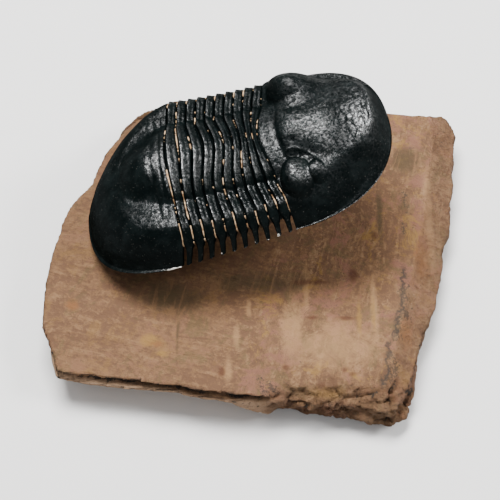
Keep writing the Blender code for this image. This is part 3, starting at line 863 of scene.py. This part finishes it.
def tail_lift(along, across):
    """A dome out to the margin, with the short tapering end of the axis on its front half."""
    x = np.maximum(0.0, (FIRST_JOINT - along) / TAIL_LENGTH)
    y = np.abs(across) / HALF_WIDTH_REAR
    power = np.where(across > 0, TAIL_OUTLINE_POWER[1], TAIL_OUTLINE_POWER[0])
    reach = np.maximum(1e-9, (x**power + y**power) ** (1 / power))
    lift = flank(reach, FURROW_LIFT[0], FLANK_TOP_SHARE[0] - TAIL_TOP_LOSS * (x / reach) ** 2)
    behind = x * TAIL_LENGTH / TAIL_AXIS_LENGTH
    axis_power = TAIL_AXIS_POWER + TAIL_AXIS_POWER_GAIN * even(behind / 0.6)
    return lift + swell(np.hypot(behind, across / AXIS_HALF[0]), AXIS_RISE[0], axis_power)


def tail_outline(s, t):
    """From the margin at s 0 to the first joint at s 1."""
    length = TAIL_LENGTH - CORNER_SIDE
    turn = math.pi / 2 * t
    power = 2 / np.where(t > 0, TAIL_OUTLINE_POWER[1], TAIL_OUTLINE_POWER[0])
    margin_along = length * (1 - np.abs(np.cos(turn)) ** power)
    margin_across = HALF_WIDTH_REAR * np.sign(t) * np.abs(np.sin(turn)) ** power
    along = margin_along + (joint_line(0, t) - JOINT_GAP / 2 - margin_along) * s
    return along, margin_across + (HALF_WIDTH_REAR * t - margin_across) * s


def tail_details(s, t, along, across):
    """Furrows parallel to the front edge, the arc round the axis, and small unevenness."""
    u, v = (FIRST_JOINT - along) / MM, across / MM
    near_axis = 1 - even((np.abs(v) - 12.5) / 4)
    front_furrow = ridge(u - TAIL_FURROWS_AT[0], 0.35) * 0.16
    rear_furrow = ridge(u - TAIL_FURROWS_AT[1] + 0.03 * np.abs(v), 0.45) * 0.20
    hollow = ridge(u - TAIL_HOLLOW_AT[0], 1.1) * ridge(np.abs(v) - TAIL_HOLLOW_AT[1], 1.7) * 0.30
    arc = ridge(np.hypot(u - 1.0, v * 0.78) - TAIL_ARC_RADIUS, 0.5) * 0.10
    knob_u, knob_v = (u - TAIL_KNOB_AT[0]) / TAIL_KNOB_HALF[0], (v - TAIL_KNOB_AT[1]) / TAIL_KNOB_HALF[1]
    knob = swell(np.hypot(knob_u, knob_v), TAIL_KNOB_RISE, 1.2)
    spots = np.stack([along, across, 0 * along], 1)
    uneven = grain(spots, 3.5 * MM, 10) * 0.13 + grain(spots, 1.0 * MM, 11) * 0.05
    edge = 1 - even((1 - s) / 0.02)
    return (uneven - (front_furrow + rear_furrow) * near_axis - hollow + arc + knob - 0.25 * edge) * MM


def patch(u, v, half_u, half_v):
    """1 at the middle of an oval and near 0 beyond its half sizes."""
    return np.exp(-1.5 * ((u / half_u) ** 2 + (v / half_v) ** 2))


TAIL_SHELL = black_shell("tail_shell", wrinkle_size=1.7 * MM, wrinkle_depth=0.18 * MM, least_up=0.78)
tail = plate("tail_shield", TAIL_ROWS, TAIL_COLUMNS, tail_outline, tail_lift, tail_details, TAIL_DRAW_BACK)
along, across = body_columns(tail)[:2]
axis_end = patch(along - 23.4, across + 4.2, 4.0, 5.0)
near_flank = patch(along - 22, across + 13, 6, 5)
shine = 1 + 0.5 * axis_end - 0.15 * near_flank
paint(tail, "shine", shine * (1 + FAR_SHINE * even((across - 2) / 8)) - 1)
near_corner = patch(along - 24.6, across + 24.3, 4.2, 0.6)
patchy = grain(np.stack([along, across, 0 * along], 1), 1.2, 22)
paint(tail, "worn_and_glinting", near_corner * (0.75 + 0.5 * patchy))
finished("tail_plate", tail, TAIL_SHELL, "black_shell", "tail_shield")

# The head shield: one plate of black calcite on the rock, with the broad raised middle lobe that widens
# forwards, the ring behind it, an eye lobe on either side with a small bump ahead of the near one, and fine
# wrinkles that follow the front margin.

HALF_WIDTH_HEAD = 21.6 * MM
# How far ahead of the last joint the rear corners of the head lie
GENAL_SETBACK = 2.4 * MM
HEAD_OUTLINE_POWER = 2.35
HEAD_LIFT = 9.6 * MM
HEAD_TOP_SHARE = 0.74
FRONT_TOP_SHARE = 0.93
CHEEK_FALL = 0.24
FAR_FRONT_DROP = 2.4 * MM
FAR_FRONT_ACROSS = -3 * MM
FAR_FRONT_AHEAD = 10 * MM
# The glabella is the raised middle lobe
GLABELLA_RISE = 3.6 * MM
GLABELLA_LOW_SHARE = 0.45
GLABELLA_CROWN = 7.0 * MM
GLABELLA_CROWN_HALF = 6.0 * MM
GLABELLA_WAIST = 8.4 * MM
GLABELLA_FRONT = 12.6 * MM
# Shares of the head's length
WAIST_SHARE = 0.22
WIDENS = (0.30, 0.75)
SINKS_FROM = 0.74
HEAD_ROWS = 190
HEAD_COLUMNS = 200
HEAD_DRAW_BACK = (0.0, 0.04)
# Relief on the head in millimetres, with places measured ahead of the last joint and out from the axis.
# Pairs hold the near eye's value and the far eye's.
EYE_ALONG = (5.4, 9.4)
EYE_ACROSS = 12.8
EYE_LENGTH = (4.3, 7.5)
EYE_WIDTH = (5.0, 8.0)
EYE_RISE = (3.5, 4.2)
EYE_POWER = (0.55, 1.4)
EYE_LEAN = (0.09, 0.02)
BROW_RADIUS = 6.2
BROW_RISE = (0.30, 0.10)
BUMP_AHEAD = 5.2
BUMP_LENGTH = 2.4
BUMP_WIDTH = 2.8
BUMP_RISE = 1.7
SUTURE_ACROSS = 9.4
SUTURE_SPREAD = 2.0
RING_FURROW_AT = 3.2
PIT_AT = (6.8, -4.2)
# From the last joint at 0 to the front margin at 1
BORDER_AT = 0.90
MARGIN_ROLL_AT = 0.965
TERRACE_LINES = 95.0


def glabella_half(share):
    """Half the width of the middle lobe at a share of the head's length."""
    half = between((AXIS_HALF[1], GLABELLA_WAIST), even(share / WAIST_SHARE))
    return half + (GLABELLA_FRONT - GLABELLA_WAIST) * even((share - WIDENS[0]) / (WIDENS[1] - WIDENS[0]))


def head_lift(along, across):
    """A dome to the margin, the middle lobe that widens forwards, and the ring behind it."""
    ahead = along - LAST_JOINT
    x = np.maximum(0.0, (ahead - GENAL_SETBACK) / (HEAD_LENGTH - GENAL_SETBACK))
    y = np.abs(across) / HALF_WIDTH_HEAD
    reach = (x**HEAD_OUTLINE_POWER + y**HEAD_OUTLINE_POWER) ** (1 / HEAD_OUTLINE_POWER)
    swollen = even(ahead / (6 * MM))
    forward = (x / np.maximum(reach, 1e-9)) ** 2
    top_lift = between((FURROW_LIFT[1], HEAD_LIFT), swollen)
    cheek_share = between((HEAD_TOP_SHARE, FRONT_TOP_SHARE), forward)
    cheek_share = cheek_share - CHEEK_FALL * np.sin(math.pi * forward**0.5)
    lift = flank(reach, top_lift, between((FLANK_TOP_SHARE[1], cheek_share), swollen))
    far_front = even((across - FAR_FRONT_ACROSS) / (16 * MM)) * even((ahead - FAR_FRONT_AHEAD) / (10 * MM))
    lift = lift - FAR_FRONT_DROP * far_front
    share = ahead / HEAD_LENGTH
    crown = between((GLABELLA_LOW_SHARE, 1.0), ridge(ahead - GLABELLA_CROWN, GLABELLA_CROWN_HALF))
    rise = between((AXIS_RISE[1], GLABELLA_RISE * crown), swollen)
    rise = rise * (1 - even((share - SINKS_FROM) / (1 - SINKS_FROM)))
    return lift + swell(across / glabella_half(share), rise, 0.75 + 0.5 * swollen)


def head_outline(s, t):
    """From the last joint at s 0 to the front margin at s 1."""
    length = HEAD_LENGTH - GENAL_SETBACK
    turn = math.pi / 2 * t
    power = 2 / HEAD_OUTLINE_POWER
    margin_along = LAST_JOINT + GENAL_SETBACK + length * np.abs(np.cos(turn)) ** power
    margin_across = HALF_WIDTH_HEAD * np.sign(t) * np.abs(np.sin(turn)) ** power
    joint_along = joint_line(SEGMENTS, t) + JOINT_GAP / 2
    joint_across = HALF_WIDTH_FRONT * t
    return joint_along + (margin_along - joint_along) * s, joint_across + (margin_across - joint_across) * s


def eye_details(u, v):
    """The eye lobes, the brows over them, the bump ahead of the near one and the sutures ahead of both."""
    eye_u, length, width, rise, power, lean, brow_rise = (
        np.where(v > 0, far, near)
        for near, far in (EYE_ALONG, EYE_LENGTH, EYE_WIDTH, EYE_RISE, EYE_POWER, EYE_LEAN, BROW_RISE)
    )
    w = np.abs(v)
    ahead = u - eye_u
    eye = swell(np.hypot(ahead / length, (w - EYE_ACROSS) / width), rise, power) * (1 - lean * ahead)
    bump_u = ahead - BUMP_AHEAD
    bump = swell(np.hypot(bump_u / BUMP_LENGTH, (w - EYE_ACROSS - 0.2) / BUMP_WIDTH), BUMP_RISE, 0.8)
    bump = bump * (1 - 0.15 * bump_u) * (v < 0)
    brow = ridge(np.hypot(ahead, w - EYE_ACROSS + 0.6) - BROW_RADIUS, 0.28)
    brow = brow * even((ahead + 3.0) / 2.5) * even((EYE_ACROSS + 0.5 - w) / 3) * brow_rise
    suture = ridge(w - SUTURE_ACROSS - (ahead - 5.4) * SUTURE_SPREAD, 0.45)
    suture = suture * even((ahead - 4.6) / 1.5) * even((9.5 - ahead) / 2) * 0.20
    return (eye**5 + bump**5) ** 0.2 + brow + suture


def head_details(s, t, along, across):
    """The eyes, the furrows and pit round the middle lobe, the border, and the wrinkles of the front."""
    u, v = (along - LAST_JOINT) / MM, across / MM
    w = np.abs(v)
    ring_furrow = ridge(u - RING_FURROW_AT - 0.01 * w * w, 0.9) * even((9.5 - w) / 4) * 0.50
    half = glabella_half(u * MM / HEAD_LENGTH) / MM
    side_furrow = ridge(w - half + 0.4, 1.4) * even((u - 2.0) / 4) * even((16 - u) / 8) * 0.25
    pit = ridge(np.hypot(u - PIT_AT[0], v - PIT_AT[1]), 0.6) * 0.30
    border = ridge(s - BORDER_AT, 0.035) * 0.20
    margin_roll = ridge(s - MARGIN_ROLL_AT, 0.03) * 0.15
    spots = np.stack([along, across, 0 * along], 1)
    uneven = grain(spots, 4.0 * MM, 12) * 0.16 + grain(spots, 1.1 * MM, 13) * 0.06
    front = even((u - 18.5) / 5) * even((15 - w) / 5)
    terrace = np.sin(s * TERRACE_LINES + 4.0 * grain(spots, 2.4 * MM, 14)) * front * 0.10
    edge = 1 - even(s / 0.02)
    sunk = ring_furrow + side_furrow + pit + border + 0.25 * edge
    return (eye_details(u, v) - sunk + margin_roll + uneven + terrace) * MM


HEAD_SHELL = black_shell("head_shell", wrinkle_size=1.5 * MM, wrinkle_depth=0.22 * MM, least_up=0.50)
head = plate("head_shield", HEAD_ROWS, HEAD_COLUMNS, head_outline, head_lift, head_details, HEAD_DRAW_BACK)
along, across = body_columns(head)[:2]
ahead = along - LAST_JOINT / MM
near_eye = patch(ahead - 5.2, across + 12.6, 4.6, 5.0)
far_eye = patch(ahead - 7.4, across - 8.6, 2.4, 2.4)
front_roll = patch(ahead - 26.0, across + 5.5, 4.0, 9.0)
behind_roll = patch(ahead - 18.8, across + 5.0, 3.2, 9.0)
shine = 0.9 + 1.4 * near_eye + 1.2 * front_roll - 0.55 * behind_roll
shine = (1 + FAR_SHINE * even((across - 5) / 5)) * shine - 1
paint(head, "shine", shine + 1.2 * far_eye)
# Painted highlight: a thin white streak on the broken near edge of the head
paint(head, "worn_and_glinting", 0.8 * patch(ahead - 4.4, across + 21.8, 3.6, 0.6))
finished("head_plate", head, HEAD_SHELL, "black_shell", "head_shield")

# The table that the block lies on, matte and off-white, with two soft lights over it and the camera, which
# looks down at the near side.

FLOOR_COLOUR = (0.72, 0.71, 0.695)
FLOOR_LIGHTER = (0.75, 0.74, 0.725)
FLOOR_HALF = 3.0
FLOOR_DROP = 0.05 * MM
LIGHTS_AIM = Vector((0.0, 0.0, 20 * MM))
STUDIO_COLOUR = (0.95, 0.97, 1.0, 1.0)
STUDIO_STRENGTH = 0.65
VIEW_POINT = Vector((-2.193 * MM, -9.933 * MM, 27.0 * MM))
VIEW_ELEVATION = 60.0
VIEW_DISTANCE = 338.8 * MM
LENS_MM = 100.0
SENSOR_MM = 36.0


def table_surface():
    """Matte off-white, very faintly clouded."""
    table = Finish("pale_table")
    clouded = table.clouds(table.place, 60.0, 3.0)
    colour = table.colour(FLOOR_COLOUR, FLOOR_LIGHTER, clouded)
    return table.done(colour, 0.8, table.relief(clouded, 0.05 * MM), 0.3)


def soft_light(name, place, size, power):
    """A lamp with a broad face, turned towards the fossil."""
    lamp = bpy.data.lights.new(name, "AREA")
    lamp.shape = "RECTANGLE"
    lamp.size, lamp.size_y = size
    lamp.energy = power
    made = bpy.data.objects.new(name, lamp)
    made.location = place
    made.rotation_euler = (LIGHTS_AIM - Vector(place)).to_track_quat("-Z", "Y").to_euler()
    bpy.context.scene.collection.objects.link(made)


floor_mesh = bmesh.new()
bmesh.ops.create_grid(floor_mesh, x_segments=1, y_segments=1, size=FLOOR_HALF)
bmesh.ops.translate(floor_mesh, verts=floor_mesh.verts[:], vec=(0.0, 0.0, -FLOOR_DROP))
floor_data = bpy.data.meshes.new("table_top")
floor_mesh.to_mesh(floor_data)
floor_mesh.free()
floor_data.materials.append(table_surface())
floor = bpy.data.objects.new("table_top", floor_data)
bpy.context.scene.collection.objects.link(floor)

soft_light("overhead_light", place=(-0.09, 0.22, 0.64), size=(0.38, 0.24), power=12.8)
soft_light("right_light", place=(0.50, 0.0, 0.50), size=(0.20, 0.20), power=4.0)

world = bpy.data.worlds.new("studio")
world.use_nodes = True
world.node_tree.nodes["Background"].inputs["Color"].default_value = STUDIO_COLOUR
world.node_tree.nodes["Background"].inputs["Strength"].default_value = STUDIO_STRENGTH
bpy.context.scene.world = world

lens = bpy.data.cameras.new("camera")
lens.lens = LENS_MM
lens.sensor_width = SENSOR_MM
camera = bpy.data.objects.new("camera", lens)
elevation = math.radians(VIEW_ELEVATION)
back = Vector((0.0, -math.cos(elevation), math.sin(elevation)))
camera.location = VIEW_POINT + back * VIEW_DISTANCE
camera.rotation_euler = (-back).to_track_quat("-Z", "Y").to_euler()
bpy.context.scene.collection.objects.link(camera)
bpy.context.scene.camera = camera
